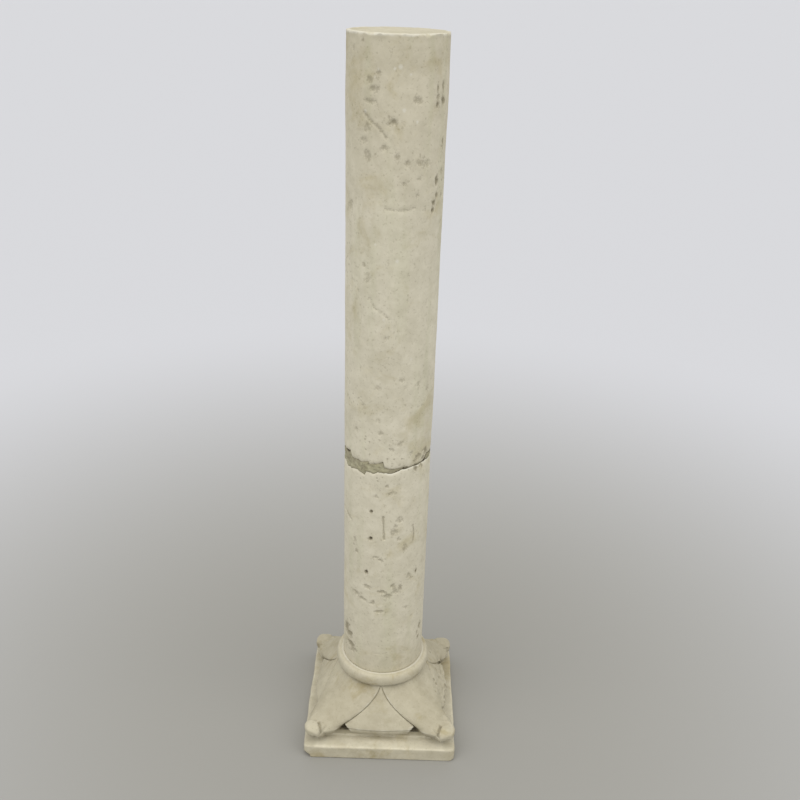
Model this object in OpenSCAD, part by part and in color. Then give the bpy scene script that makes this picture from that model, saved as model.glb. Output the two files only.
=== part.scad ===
// A plain round stone shaft in two drums, mortared together, standing on a carved leaf base.

/* [Overall] */
// Height of the whole column
column_h = 1500; // [1200:10:1900]
// Diameter of the shaft
shaft_d = 178; // [140:1:220]
// Side of the square slab
slab_w = 336; // [280:2:410]

/* [Base stone] */
// Height of the base stone, floor to shaft foot
base_h = 178; // [145:1:220]
// Thickness of the square slab
slab_h = 33; // [22:1:45]
// Radius on the slab's upright corners
slab_corner_r = 8; // [3:1:20]
// Worn bevel along the slab's top and bottom edges
slab_bevel = 3; // [1:0.5:6]
// Height of the ring under the shaft
ring_h = 27; // [18:1:36]
// How far the ring stands out from the shaft
ring_proud = 15.6; // [10:0.2:20]
// Flat tread on top of the ring, beside the shaft
ring_tread = 4; // [2:0.5:8]
// How far the ring overhangs the leaves below it
ring_overhang = 8; // [4:0.5:12]

/* [Leaves] */
// Setback of the tongue leaves' lips from the slab's edge
lip_setback = 16; // [10:1:26]
// Height of the clear space between the slab and the lips
lip_lift = 20; // [14:1:26]
// Height of the lips' upright edge
lip_face = 12; // [8:1:16]
// Depth of the undercut below the lips
undercut = 22; // [12:1:28]
// Half the width of a tongue leaf where it starts, under the ring
tongue_top = 5; // [3:0.5:8]
// Half the width of a tongue leaf at its foot
tongue_foot = 80; // [62:1:86]
// How far the sides of a tongue leaf curl back from its middle
tongue_curl = 8; // [4:0.5:12]
// Width of the groove between two leaves
groove_w = 4; // [2:0.5:7]
// Depth of the groove between two leaves
groove_depth = 3; // [1.5:0.5:5]
// Height of the drilled hole where two leaves part, above the lips
hole_rise = 8; // [4:1:14]
// Half the width of the drilled hole at its foot
hole_half_w = 15; // [8:0.5:18]
// How far a corner leaf swells beyond a flat face at its foot
leaf_swell = 9; // [4:0.5:12]
// How hollow the corner leaf's ridge is from ring to tip, 1 being straight
ridge_hollow = 1.2; // [1:0.05:1.5]
// How strongly the creases between the leaves bend outwards, 1 being straight
crease_bend = 1.85; // [1.4:0.05:2.2]

/* [Rolled leaf tips] */
// Side of the rolled tip of each corner leaf
tip_w = 32; // [26:1:40]
// Height of the rolled tip
tip_h = 39; // [30:1:48]
// Radius on the rolled tip's upright corners
tip_corner_r = 8; // [4:1:12]
// Bevel round the rolled tip's top and bottom
tip_bevel = 6; // [3:0.5:9]
// Setback of the rolled tips from the slab's edge
tip_setback = 1; // [0.5:0.5:8]

/* [Joint in the shaft] */
// Height of the lower drum
lower_drum_h = 512; // [420:2:620]
// Thickness of the mortar bed
bed_t = 6; // [3:0.5:10]
// Depth to which the mortar lies behind the shaft's face
mortar_recess = 1; // [0.5:0.5:3]
// Depth of the broken arris at its worst
break_depth = 10.5; // [6:0.5:16]
// Height of the broken arris on each drum at its worst
break_h = 15; // [8:1:24]
// Half the arc of the broken arris, in degrees
break_arc = 70; // [50:1:85]
// Direction of the worst of the break, in degrees from the front towards the left
break_turn = 50; // [0:5:180]
// Worn bevel round the top bed of the shaft
rim_bevel = 3; // [1:0.5:8]

/* [Hidden] */
stone = [0.74, 0.71, 0.62];
pale_stone = [0.76, 0.74, 0.67];
mortar_grey = [0.55, 0.54, 0.46];
shaft_r = shaft_d / 2;
ring_r = shaft_r + ring_proud;
leaf_top_r = ring_r - ring_overhang;
leaf_top_z = base_h - ring_h;
lip_y = slab_w / 2 - lip_setback;
lip_low_z = slab_h + lip_lift;
lip_top_z = lip_low_z + lip_face;
hole_top_z = lip_top_z + hole_rise;
tip_at = slab_w / 2 - tip_setback - tip_w / 2;
tip_r = tip_at * sqrt(2);
bed_low_z = base_h + lower_drum_h;
bed_top_z = bed_low_z + bed_t;
// Facets round the ring's face
ring_steps = 9;
// How far the leaf body runs on into the slab and the ring
root_sink = 3;
lip_round = 2;
// The groove starts this thin under the ring, and has its full size this share of the way down
groove_start = 0.2;
groove_full_at = 0.25;
round_fn = 96;

// Each half of a tongue leaf has this many strips, and so has each half of a corner leaf
leaf_strips = 4;
// Levels between the drilled holes and the ring
body_levels = 7;

// 0 at the ring, 1 where the drilled holes start, along the slope of the leaves
function fall(z) = max(0, min(1, (leaf_top_z - z) / (leaf_top_z - hole_top_z)));
// 0 at the ring, 1 at the lips, along the corner leaf's ridge
function drop(z) = max(0, min(1, (leaf_top_z - z) / (leaf_top_z - lip_top_z)));

// Middle line of a tongue leaf: distance from the column's axis
function tongue_y(z) = leaf_top_r + (lip_y - leaf_top_r) * fall(z);
// Crease between tongue and corner leaf: sideways distance from the middle of the face
function crease_x(z) = tongue_top + (tongue_foot - tongue_top) * pow(fall(z), crease_bend);
// Crease: distance out from the column's axis
function crease_y(z) = tongue_y(z) - tongue_curl * fall(z);
function crease_turn(z) = atan(crease_x(z) / crease_y(z));
function crease_r(z) = norm([crease_x(z), crease_y(z)]);
function groove_grow(z) = min(1, groove_start + fall(z) / groove_full_at);
// Half the groove's width, which opens into the drilled hole below the crease
function gap_half(z) = z >= hole_top_z ? groove_w / 2 * groove_grow(z)
    : groove_w / 2 + (hole_half_w - groove_w / 2) * min(1, (hole_top_z - z) / (hole_top_z - lip_low_z));
function gap_turn(z) = asin(gap_half(z) / crease_r(z));

// Tongue: y falls away with the square of the distance from the middle
function tongue_r(z, turn) =
    let(bend = (tongue_y(z) - crease_y(z)) / pow(crease_x(z), 2), s = sin(turn), c = cos(turn))
    abs(bend * s) < 0.000001 ? tongue_y(z) / c
    : (-c + sqrt(c * c + 4 * bend * s * s * tongue_y(z))) / (2 * bend * s * s);
// Corner leaf: a flat from the crease to the ridge on the diagonal, swelling between them
function ridge_r(z) = leaf_top_r + (tip_r - leaf_top_r) * pow(drop(z), ridge_hollow);
function leaf_r(z, turn) =
    let(from = crease_turn(z), a = turn - from, b = 45 - turn)
    crease_r(z) * ridge_r(z) * sin(45 - from) / (crease_r(z) * sin(a) + ridge_r(z) * sin(b))
    + leaf_swell * pow(drop(z), 2) * sin(180 * a / (45 - from));
// Undercut: a plain square block below the lips
function under_r(turn) = (lip_y - undercut) / cos(turn);

// One strip edge of half a face: [turn from the middle of the face, kind], kind 0 tongue, 1 groove, 2 leaf
function strip_turn(z, k) =
    k <= leaf_strips ? (crease_turn(z) - gap_turn(z)) * k / leaf_strips
    : k == leaf_strips + 1 ? crease_turn(z)
    : let(from = crease_turn(z) + gap_turn(z)) from + (45 - from) * (k - leaf_strips - 2) / leaf_strips;
function strip_r(z, k) =
    let(turn = strip_turn(z, k))
    k <= leaf_strips ? tongue_r(z, turn)
    : k > leaf_strips + 1 ? leaf_r(z, turn)
    : z >= hole_top_z ? crease_r(z) - groove_depth * groove_grow(z)
    : under_r(turn);

half_face = 2 * leaf_strips + 2;
columns = 8 * half_face;
// Levels from the foot in the slab up to the top inside the ring: [height, kind]
// kind 0 is the undercut block, 1 the rounded edge of the lips, 2 the leaves
levels = concat(
    [[slab_h - root_sink, 0], [lip_low_z - lip_round, 0], [lip_low_z, 1], [lip_low_z + lip_round, 2]],
    [[lip_top_z, 2]],
    [for (i = [0:body_levels]) [hole_top_z + (leaf_top_z - hole_top_z) * i / body_levels, 2]],
    [[leaf_top_z + root_sink, 2]]
);

// A point of the leaf body: columns run round from the middle of one face
function body_point(level, i) =
    let(
        z = level[0],
        face = round(i / (2 * half_face)),
        across = i - face * 2 * half_face,
        k = abs(across),
        turn = 90 * face + sign(across) * strip_turn(z, k),
        r = level[1] == 0 ? under_r(strip_turn(z, k))
            : level[1] == 1 ? max(under_r(strip_turn(z, k)), strip_r(z, k) - lip_round)
            : strip_r(z, k)
    )
    [r * cos(turn), r * sin(turn), z];

module leaf_body() {
    n = len(levels);
    rings = [for (level = levels) for (i = [0:columns - 1]) body_point(level, i)];
    points = concat(rings, [[0, 0, levels[0][0]], [0, 0, levels[n - 1][0]]]);
    sides = [for (j = [0:n - 2]) for (i = [0:columns - 1])
        let(here = j * columns, next = (i + 1) % columns, up = here + columns)
        for (corner = [[up + i, up + next, here + next], [up + i, here + next, here + i]]) corner];
    foot = [for (i = [0:columns - 1]) [n * columns, i, (i + 1) % columns]];
    head = [for (i = [0:columns - 1])
        let(top = (n - 1) * columns) [n * columns + 1, top + (i + 1) % columns, top + i]];
    polyhedron(points = points, faces = concat(sides, foot, head), convexity = 6);
}

// A square block that stands on z = 0: rounded upright corners, bevelled top and bottom edges
module block_outline(w, corner_r) {
    inner = w - 2 * corner_r;
    square([w, inner], center = true);
    square([inner, w], center = true);
    for (x = [-1, 1]) for (y = [-1, 1])
        translate([x * inner / 2, y * inner / 2]) circle(corner_r, $fn = round_fn);
}

module block_side(w, h, bevel) {
    polygon([
        [-w / 2 + bevel, 0], [w / 2 - bevel, 0], [w / 2, bevel], [w / 2, h - bevel],
        [w / 2 - bevel, h], [-w / 2 + bevel, h], [-w / 2, h - bevel], [-w / 2, bevel]
    ]);
}

module block(w, h, corner_r, bevel) {
    intersection() {
        linear_extrude(h) block_outline(w, corner_r);
        rotate([90, 0, 0]) linear_extrude(w + 2, center = true) block_side(w, h, bevel);
        rotate([90, 0, 90]) linear_extrude(w + 2, center = true) block_side(w, h, bevel);
    }
}

// The ring: a flat underside, a rounded face and a narrow flat tread beside the shaft
module ring() {
    tread_r = shaft_r + ring_tread;
    half_h = ring_h / 2;
    rotate_extrude($fn = round_fn)
        polygon(concat(
            [[0, leaf_top_z]],
            [for (i = [0:ring_steps])
                let(a = -90 + 180 * i / ring_steps)
                [tread_r + (ring_r - tread_r) * cos(a), leaf_top_z + half_h + half_h * sin(a)]],
            [[0, base_h]]
        ));
}

module base() {
    color(stone) {
        block(slab_w, slab_h, slab_corner_r, slab_bevel);
        leaf_body();
        ring();
        for (i = [0:3]) rotate(90 * i) translate([tip_at, tip_at, lip_low_z - lip_round / 2])
            block(tip_w, tip_h, tip_corner_r, tip_bevel);
    }
}

// What is broken off a drum's arris at the joint. The sound stone that stays is a cone set off the axis,
// away from the break, so the break is deepest on one side and runs out to nothing round the shaft.
// The break lies below bed_z where side is -1, and above it where side is 1.
module broken_arris(bed_z, side) {
    off = break_depth / (1 - cos(break_arc));
    bed_r = shaft_r + off * cos(break_arc);
    slope = break_depth / break_h;
    past = 2;
    translate([0, 0, bed_z]) rotate(-90 - break_turn) mirror([0, 0, side < 0 ? 1 : 0])
        difference() {
            translate([0, 0, -past]) cylinder(h = break_h + 2 * past, r = 2 * shaft_r, $fn = round_fn);
            translate([-off, 0, -2 * past])
                cylinder(h = break_h + 4 * past, r1 = bed_r - 2 * past * slope,
                    r2 = bed_r + (break_h + 2 * past) * slope, $fn = round_fn);
        }
}

module lower_stone() {
    difference() {
        translate([0, 0, base_h]) cylinder(h = lower_drum_h, r = shaft_r, $fn = round_fn);
        broken_arris(bed_low_z, -1);
    }
}

module upper_stone() {
    difference() {
        rotate_extrude($fn = round_fn)
            polygon([[0, bed_top_z], [shaft_r, bed_top_z], [shaft_r, column_h - rim_bevel],
                [shaft_r - rim_bevel, column_h], [0, column_h]]);
        broken_arris(bed_top_z, 1);
    }
}

module lower_shaft() {
    color(pale_stone) lower_stone();
}

module upper_shaft() {
    color(pale_stone) upper_stone();
}

// The mortar fills the space between the two drums, and lies a little behind their face
module joint_mortar() {
    reach = break_h + mortar_recess;
    color(mortar_grey) difference() {
        translate([0, 0, bed_low_z - reach])
            cylinder(h = bed_t + 2 * reach, r = shaft_r - mortar_recess, $fn = round_fn);
        lower_stone();
        upper_stone();
    }
}

base();
lower_shaft();
joint_mortar();
upper_shaft();
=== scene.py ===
# A plain round stone shaft in two mortared drums, standing on a square base carved with leaves.
# Every stone is one closed grid of points worked out with numpy, in metres, in the CAD model's frame.
import math
import bpy
import numpy as np
from mathutils import Matrix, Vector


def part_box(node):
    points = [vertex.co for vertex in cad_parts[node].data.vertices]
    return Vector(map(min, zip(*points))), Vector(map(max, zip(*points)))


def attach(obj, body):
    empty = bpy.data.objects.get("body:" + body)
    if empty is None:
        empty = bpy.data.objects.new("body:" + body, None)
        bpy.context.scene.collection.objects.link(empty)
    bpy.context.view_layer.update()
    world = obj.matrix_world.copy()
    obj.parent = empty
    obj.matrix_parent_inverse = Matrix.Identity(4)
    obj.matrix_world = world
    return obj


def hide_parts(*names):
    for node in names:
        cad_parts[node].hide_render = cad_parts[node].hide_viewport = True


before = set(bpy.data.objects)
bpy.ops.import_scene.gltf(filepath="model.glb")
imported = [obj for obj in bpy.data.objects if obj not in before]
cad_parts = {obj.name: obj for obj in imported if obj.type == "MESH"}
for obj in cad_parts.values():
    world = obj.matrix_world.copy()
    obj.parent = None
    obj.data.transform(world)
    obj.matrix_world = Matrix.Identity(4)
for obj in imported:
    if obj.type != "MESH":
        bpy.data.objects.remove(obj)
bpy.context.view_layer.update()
mm = 0.001

baseLow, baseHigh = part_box("base")
upperLow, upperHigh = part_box("upper_shaft")
slabHalf = (baseHigh.x - baseLow.x) / 2
baseTop = baseHigh.z
shaftRadius = (upperHigh.x - upperLow.x) / 2
shaftTop = upperHigh.z
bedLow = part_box("lower_shaft")[1].z      # the two drums' beds at the joint
bedHigh = upperLow.z


# sums that every stone uses

def smooth(t):
    # 3t² - 2t³ between 0 and 1, flat outside
    t = np.clip(t, 0, 1)
    return t * t * (3 - 2 * t)


def ramp(x, start, end):
    # 0 before start, 1 after end, smooth between; start may be above end
    return smooth((np.asarray(x, float) - start) / (end - start))


def latticeNoise(points, size, seed):
    # random values on a cubic lattice of this size, blended by smooth() between its corners: -1 to 1
    lattice = 48
    values = np.random.default_rng(seed).uniform(-1, 1, (lattice, lattice, lattice))
    place = points / size + 1000.37      # keeps every point on the lattice's positive side, off its nodes
    cell = np.floor(place).astype(int)
    t = smooth(place - cell)
    total = np.zeros(points.shape[:-1])
    for corner in np.ndindex(2, 2, 2):
        weight = np.prod(np.where(corner, t, 1 - t), axis=-1)
        x, y, z = np.moveaxis((cell + corner) % lattice, -1, 0)
        total += weight * values[x, y, z]
    return total


def roughField(points, size, octaves, seed):
    # sum of lattice noises, each half the size and 0.55 of the height of the one before
    total = np.zeros(points.shape[:-1])
    for octave in range(octaves):
        total += 0.55 ** octave * latticeNoise(points, size / 2 ** octave, seed + octave)
    return total


def surfaceNormals(grid):
    # cross product of the step round the grid and the step up it, made one long
    around = np.roll(grid, -1, axis=1) - np.roll(grid, 1, axis=1)
    up = np.gradient(grid, axis=0)
    normal = np.cross(around, up)
    return normal / np.maximum(np.linalg.norm(normal, axis=-1, keepdims=True), 1e-9)


def carve(grid, start, end, radius, mark):
    # bites a capsule out of the stone: a point inside it moves straight out from its axis to its wall,
    # and its mark becomes 1
    start, end = np.array(start, float), np.array(end, float)
    axis = end - start
    along = np.clip(((grid - start) @ axis) / max(axis @ axis, 1e-12), 0, 1)
    out = grid - (start + along[..., None] * axis)
    distance = np.maximum(np.linalg.norm(out, axis=-1), 1e-6)
    inside = distance < radius
    moved = grid + out / distance[..., None] * np.maximum(radius - distance, 0)[..., None]
    return np.where(inside[..., None], moved, grid), np.maximum(mark, inside)


def incise(grid, normal, start, end, halfWidth, depth, heights):
    # a V cut seen from above: share = 1 - d / halfWidth with d the plan distance from start to end,
    # sunk by depth times share and kept between two heights
    start, run = np.array(start), np.array(end) - np.array(start)
    place = grid[..., :2] - start
    along = np.clip(place @ run / (run @ run), 0, 1)
    share = np.clip(1 - np.linalg.norm(place - along[..., None] * run, axis=-1) / halfWidth, 0, 1)
    share = share * (grid[..., 2] > heights[0]) * (grid[..., 2] < heights[1])
    return grid - normal * (depth * share)[..., None], share


def closedSurface(name, grid, attributes):
    # rows run from the foot's centre up to the head's centre, columns anticlockwise seen from above:
    # quads between neighbouring rows and columns, and a fan of triangles round each centre
    rows, columns = grid.shape[:2]
    points = np.concatenate([grid[:1].mean(1), grid[1:-1].reshape(-1, 3), grid[-1:].mean(1)])
    here = np.arange(columns)
    beside = (here + 1) % columns
    row = 1 + columns * np.arange(rows - 3)[:, None]
    quads = np.stack([row + here, row + beside, row + beside + columns, row + here + columns], -1)
    last = len(points) - 1
    foot = np.stack([np.zeros(columns, int), 1 + beside, 1 + here], -1)
    head = np.stack([np.full(columns, last), last - columns + here, last - columns + beside], -1)
    mesh = bpy.data.meshes.new(name)
    mesh.from_pydata(points, [], quads.reshape(-1, 4).tolist() + foot.tolist() + head.tolist())
    mesh.polygons.foreach_set("use_smooth", np.ones(len(mesh.polygons), bool))
    for key, values in attributes.items():
        flat = np.concatenate([[values[0].mean()], values[1:-1].ravel(), [values[-1].mean()]])
        mesh.attributes.new(key, "FLOAT", "POINT").data.foreach_set("value", flat.astype(np.float32))
    mesh.update()
    piece = bpy.data.objects.new(name, mesh)
    bpy.context.scene.collection.objects.link(piece)
    return piece


# the carved base: slab, four tongue leaves, four corner leaves with rolled tips, and the ring

baseShape = {
    "slabHeight": 33 * mm,
    "slabTopRound": 4.5 * mm,
    "slabFootRound": 3 * mm,
    "slabSquareness": 40,        # higher is a sharper upright corner
    "wallFillet": 2 * mm,        # between the slab's top and the wall under the leaves
    "ringHeight": 27 * mm,
    "ringProud": 15.6 * mm,
    "ringTread": 2.5 * mm,
    "ringOverhang": 8 * mm,
    "ringFullness": 0.5,         # power of the ring's section: lower is squarer
    "ringFall": 1.25,            # the section's upper half dips this much faster to the tread
    "lipSetback": 16 * mm,
    "lipLift": 20 * mm,
    "lipFace": 12 * mm,
    "lipDroop": 3 * mm,          # how far the lip's face leans back at its foot
    "lipRound": 1.6 * mm,
    "lipReach": 2.2 * mm,
    "undercut": 22 * mm,
    "undercutDrop": 5 * mm,      # the undercut starts this far below the lip
    "tongueTop": 1.2 * mm,
    "tongueFeet": ((81, 79), (82, 73), (78, 78), (73, 75)),   # mm: half widths of front, right, back, left
    "tongueCurl": 8 * mm,
    "creaseBend": 1.75,
    "grooveHalf": 2.0 * mm,
    "grooveDepth": 3 * mm,
    "grooveWall": 2.2 * mm,
    "grooveStart": 0.35,         # share of the groove's width that it has under the ring
    "edgeRound": 1.1 * mm,       # both leaves round over into the groove by this much
    "edgeReach": 2.5 * mm,
    "holeRise": 8 * mm,
    "holeHalf": 17 * mm,
    "holeFoot": 50 * mm,
    "holeDepth": 24 * mm,
    "holeSpread": 0.6,           # lower opens the hole sooner below its top
    "ridgeInset": 17 * mm,
    "ridgeRound": 0.13,          # radians over which the leaf's ridge is rounded
    "ridgeHollow": 1.2,
    "leafSwell": 9 * mm,
    "leafFullness": 2.5 * mm,
    "leafDrawIn": 9 * mm,        # the corner leaf draws in by this much towards its lip
    "tipInset": 1 * mm,
    "tipSquareness": 18,
    "tipHalfTurn": 5.6,          # degrees
    "tipWall": 1.3,              # degrees
    "tipTop": 77.5 * mm,
    "tipShoulder": 6 * mm,       # how far the tip's top falls to its sides
    "tipKeel": 5 * mm,           # how far the tip's foot lifts at the corner
    # the tip's outline from its foot over its top to the ridge: share of the rows, shares of the
    # undercut's and the outer face's distance from the axis, what is added to them and the height in mm;
    # the last point lies on the ridge
    "tipOutline": [
        (0.00, 1.0, 0.0, 0, 48), (0.09, 0.3, 0.7, 0, 50), (0.14, 0, 1, -7, 52.5), (0.18, 0, 1, -2, 56),
        (0.24, 0, 1, 0, 63), (0.30, 0, 1, 0, 68.5), (0.34, 0, 1, 0, 72.5), (0.38, 0, 1, -1.5, 75.5),
        (0.42, 0, 1, -5.5, 78), (0.46, 0, 1, -13, 79), (0.51, 0, 0, 198, 78.5), (0.56, 0, 0, 0, 77.5),
    ],
    "tipRows": (0.30, 0.56, 0.80),   # shares of the rows between which they close up towards the tip
    "easePasses": 8,             # smoothings of the fold between leaf and ridge
    "rows": 86,
    "columns": (26, 3, 3, 3, 22, 6, 10),   # strips across half a face, zone by zone
    # the battered state: places and radii in mm
    "backTipWear": 4 * mm,
    "slitStart": (135, 142),
    "slitEnd": (129, 159),
    "slitHeights": (64 * mm, 90 * mm),
    "slitWidth": 4.2 * mm,
    "slitDepth": 4.5 * mm,
    "faintSlit": 0.35,           # share of the depth that the less plain slits have
    "bites": [                   # start, end and radius of each bite out of an edge or corner
        ((-182, -176, -11), (-181, -176, -11), 33), ((182, -178, -12), (182, -177, -12), 27),
        ((-177, -176, 46), (-172, -180, 46), 15), ((178, -174, 44), (172, -180, 45), 16),
        ((172, -158, 90), (176, -146, 86), 12), ((178, -168, 74), (172, -178, 68), 10),
        ((168, 168, 84), (150, 172, 84), 11), ((150, 158, 85), (158, 150, 85), 8),
        ((-20, -174, 38), (4, -174, 38.5), 5.5), ((96, -174, 38), (110, -174, 38), 5.5),
        ((174, 60, 38), (174, 76, 38), 7), ((-174, 40, 38), (-174, 64, 38), 6),
        ((146, -170, 99), (150, -168, 98), 20), ((-120, -172, 40), (-112, -173, 38), 5),
        ((30, 174, 38), (70, 174, 38), 6),
    ],
    "pits": [((-155, -168, 60), 3.5), ((-143, -168, 59), 3.5), ((140, 69, 78), 5.5), ((121, -27, 108), 3),
             ((128, -33, 101), 3.4), ((114, 59, 114), 3), ((140, 4, 91), 3.4), ((151, -112, 66), 3),
             ((156, -148, 82), 3.5), ((159, -155, 68), 4), ((133, 30, 97), 3), ((144, 40, 80), 3.5),
             ((141, 71, 77), 7), ((147, -87, 79), 4.5), ((149, -60, 72), 4), ((136, -5, 96), 3.6),
             ((130, 14, 104), 3.2), ((147, -10, 74), 4.2), ((143, 24, 84), 3.2), ((126, -60, 104), 3)],
    "biteRagged": 1.5 * mm,
    "chipGrain": 0.6 * mm,
    "handWave": 0.9 * mm,        # the carver's slow undulations
    "handGrain": 0.3 * mm,
    "brokenRough": 3.4 * mm,     # the battered right side's lumps
    "brokenLoss": 1.6 * mm,
    # the battered side's area: axis (0 across, 1 back, 2 up) and the mm between which it sets in
    "brokenArea": [(0, 118, 140), (1, -165, -120), (1, 110, 60), (2, 44, 56), (2, 122, 96)],
    "grooveShade": 0.34,
    "holeShadow": 0.75,
    "pitDirtAndShade": 0.5,
    "slitShadow": 0.6,
    "underRingShadow": 0.45,           # painted shadow in the angle under the ring
    "underLipShade": 0.35,
    "footGrimeAndShade": 0.1,            # dirt and painted contact shade round the shaft's foot
    "wearAndHighlightCurve": 0.25 * mm,      # how sharp an edge shows as fully worn and highlit
    "sideShade": 0.4,            # painted shade on the slab's sides, the ring and the slab's margins
    "ringShade": 0.45,
    "marginShade": 0.5,
}

ringRadius = shaftRadius + baseShape["ringProud"]
treadRadius = shaftRadius + baseShape["ringTread"]
leafTopRadius = ringRadius - baseShape["ringOverhang"]
leafTop = baseTop - baseShape["ringHeight"]
lipY = slabHalf - baseShape["lipSetback"]
lipLow = baseShape["slabHeight"] + baseShape["lipLift"]
lipTop = lipLow + baseShape["lipFace"]
wallTop = lipLow - baseShape["undercutDrop"]
holeTop = lipTop + baseShape["holeRise"]
ridgeRadius = (slabHalf - baseShape["ridgeInset"]) * math.sqrt(2)


def fallTo(z, foot):
    # 0 at the leaves' top and 1 at this foot, straight between
    return np.clip((leafTop - z) / (leafTop - foot), 0, 1)


def leafFall(z):
    # fallTo() the tongue's foot, just above the lip's top
    return fallTo(z, lipTop + 4 * mm)


def squareRadius(half, turn, power):
    # distance to a rounded square's side: half / (|cos|^p + |sin|^p)^(1/p)
    across, along = np.abs(np.cos(turn)), np.abs(np.sin(turn))
    return half / (across ** power + along ** power) ** (1 / power)


def tongueFace(z):
    # the tongue's middle runs straight out from under the ring to the lip
    return leafTopRadius + (lipY - leafTopRadius) * leafFall(z)


def ridgeDistance(z):
    # the corner ridge runs out to the tip with the power ridgeHollow of the fall
    return leafTopRadius + (ridgeRadius - leafTopRadius) * fallTo(z, lipTop) ** baseShape["ridgeHollow"]


def creaseLine(z, tongueFoot):
    # the crease between tongue and corner leaf: half width with the power creaseBend of the fall, and
    # the tongue's face less its curl
    s = baseShape
    x = s["tongueTop"] + (tongueFoot - s["tongueTop"]) * fallTo(z, holeTop) ** s["creaseBend"]
    return x, tongueFace(z) - s["tongueCurl"] * leafFall(z)


def leafColumns():
    # positions across half a face, 0 at its middle and 7 at the corner: tongue, groove wall, groove,
    # groove wall, corner leaf, tip's side, tip
    counts = baseShape["columns"]
    position = np.concatenate([zone + np.arange(n) / n for zone, n in enumerate(counts)] + [[len(counts)]])
    zone = np.minimum(position.astype(int), len(counts) - 1)
    return position, zone, position - zone


def leafSkin(z, out, tongueFoot, columns):
    # the leaf body at heights z, rows by columns: turn in radians, distance from the axis, how deep in
    # the groove, how far below the hole's top, and the undercut's distance; out is 0 at the undercut
    s = baseShape
    position, zone, part = columns
    x, y = creaseLine(z, tongueFoot)
    creaseTurn = np.degrees(np.arctan2(x, y))
    creaseRadius = np.hypot(x, y)
    below = ramp(z, holeTop + 1 * mm, holeTop - 1 * mm)
    opening = np.clip((holeTop - z) / (holeTop - s["holeFoot"]), 0, 1) ** s["holeSpread"]
    gap = s["grooveHalf"] * (s["grooveStart"] + (1 - s["grooveStart"]) * ramp(leafFall(z), 0, 0.25))
    gap = gap + (s["holeHalf"] - s["grooveHalf"]) * opening
    gapTurn = np.degrees(gap / creaseRadius)
    wall = np.minimum(gapTurn * 0.8, np.degrees(s["grooveWall"] / creaseRadius))
    tipTurn = 45 - s["tipHalfTurn"]
    tipEdge = tipTurn - s["tipWall"] * (1 + 5 * ramp(z, 88 * mm, 108 * mm))   # wider where the ridge is bare
    edges = np.stack([0 * z, creaseTurn - gapTurn, creaseTurn - gapTurn + wall, creaseTurn + gapTurn - wall,
                      creaseTurn + gapTurn, tipEdge, tipTurn + 0 * z, 45 + 0 * z], -1)
    here = np.arange(len(zone))
    turn = edges[:, here, zone] + (edges[:, here, zone + 1] - edges[:, here, zone]) * part
    rad = np.radians(turn)
    cosine = np.cos(rad)
    # tongue: falls back with the square of the distance from its middle
    bend = (tongueFace(z) - y) / x ** 2
    curl = 4 * bend * np.sin(rad) ** 2 * tongueFace(z)
    tongue = 2 * tongueFace(z) / (cosine + np.sqrt(cosine ** 2 + curl))
    # corner leaf: a flat from the crease to the ridge, swelling between them
    ridge = ridgeDistance(z)
    span = np.radians(45 - creaseTurn)
    soft = s["ridgeRound"]
    toCorner = np.sqrt(np.radians(45 - turn) ** 2 + soft ** 2) - soft
    toCorner = toCorner * span / (np.sqrt(span ** 2 + soft ** 2) - soft)
    fromCrease = span - toCorner
    leaf = creaseRadius * ridge * np.sin(span)
    leaf = leaf / (creaseRadius * np.sin(fromCrease) + ridge * np.sin(toCorner))
    swell = s["leafSwell"] * fallTo(z, lipTop) ** 2 + s["leafFullness"] * fallTo(z, lipTop)
    leaf = leaf + swell * np.sin(np.pi * np.clip(fromCrease / span, 0, 1)) ** 0.8
    blend = smooth((position - 1.0) / 3.0)
    radius = tongue + (leaf - tongue) * blend
    radius = np.where(position < 1, tongue, np.where(position > 4, leaf, radius))
    # both leaves round over into the groove, and the groove opens into the drilled hole
    sink = np.where(zone == 1, part, np.where(zone == 2, 1, np.where(zone == 3, 1 - part, 0)))
    edgeTurn = np.where(position <= 1, creaseTurn - gapTurn - turn, turn - creaseTurn - gapTurn)
    nearEdge = np.exp(-np.maximum(np.radians(edgeTurn) * radius, 0) / s["edgeReach"])
    radius = radius - s["edgeRound"] * nearEdge * ramp(leafFall(z), 0, 0.15)
    radius = radius - s["leafDrawIn"] * ramp(z, lipTop + 10 * mm, lipLow - 2 * mm) * blend
    depth = s["grooveDepth"] * (0.4 + 0.6 * ramp(leafFall(z), 0, 0.2))
    depth = depth + (s["holeDepth"] - depth) * below
    radius = radius - smooth(sink) * depth
    lean = s["lipDroop"] * np.clip((lipTop - z) / s["lipFace"], 0, 1)
    radius = radius - lean - s["lipRound"] * np.exp(-np.abs(z - lipTop) / s["lipReach"])
    under = (lipY - s["undercut"]) / cosine
    radius = under + (radius - under) * out[:, None]
    return rad, radius, sink * np.ones_like(z), below * np.ones_like(turn), under


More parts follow.
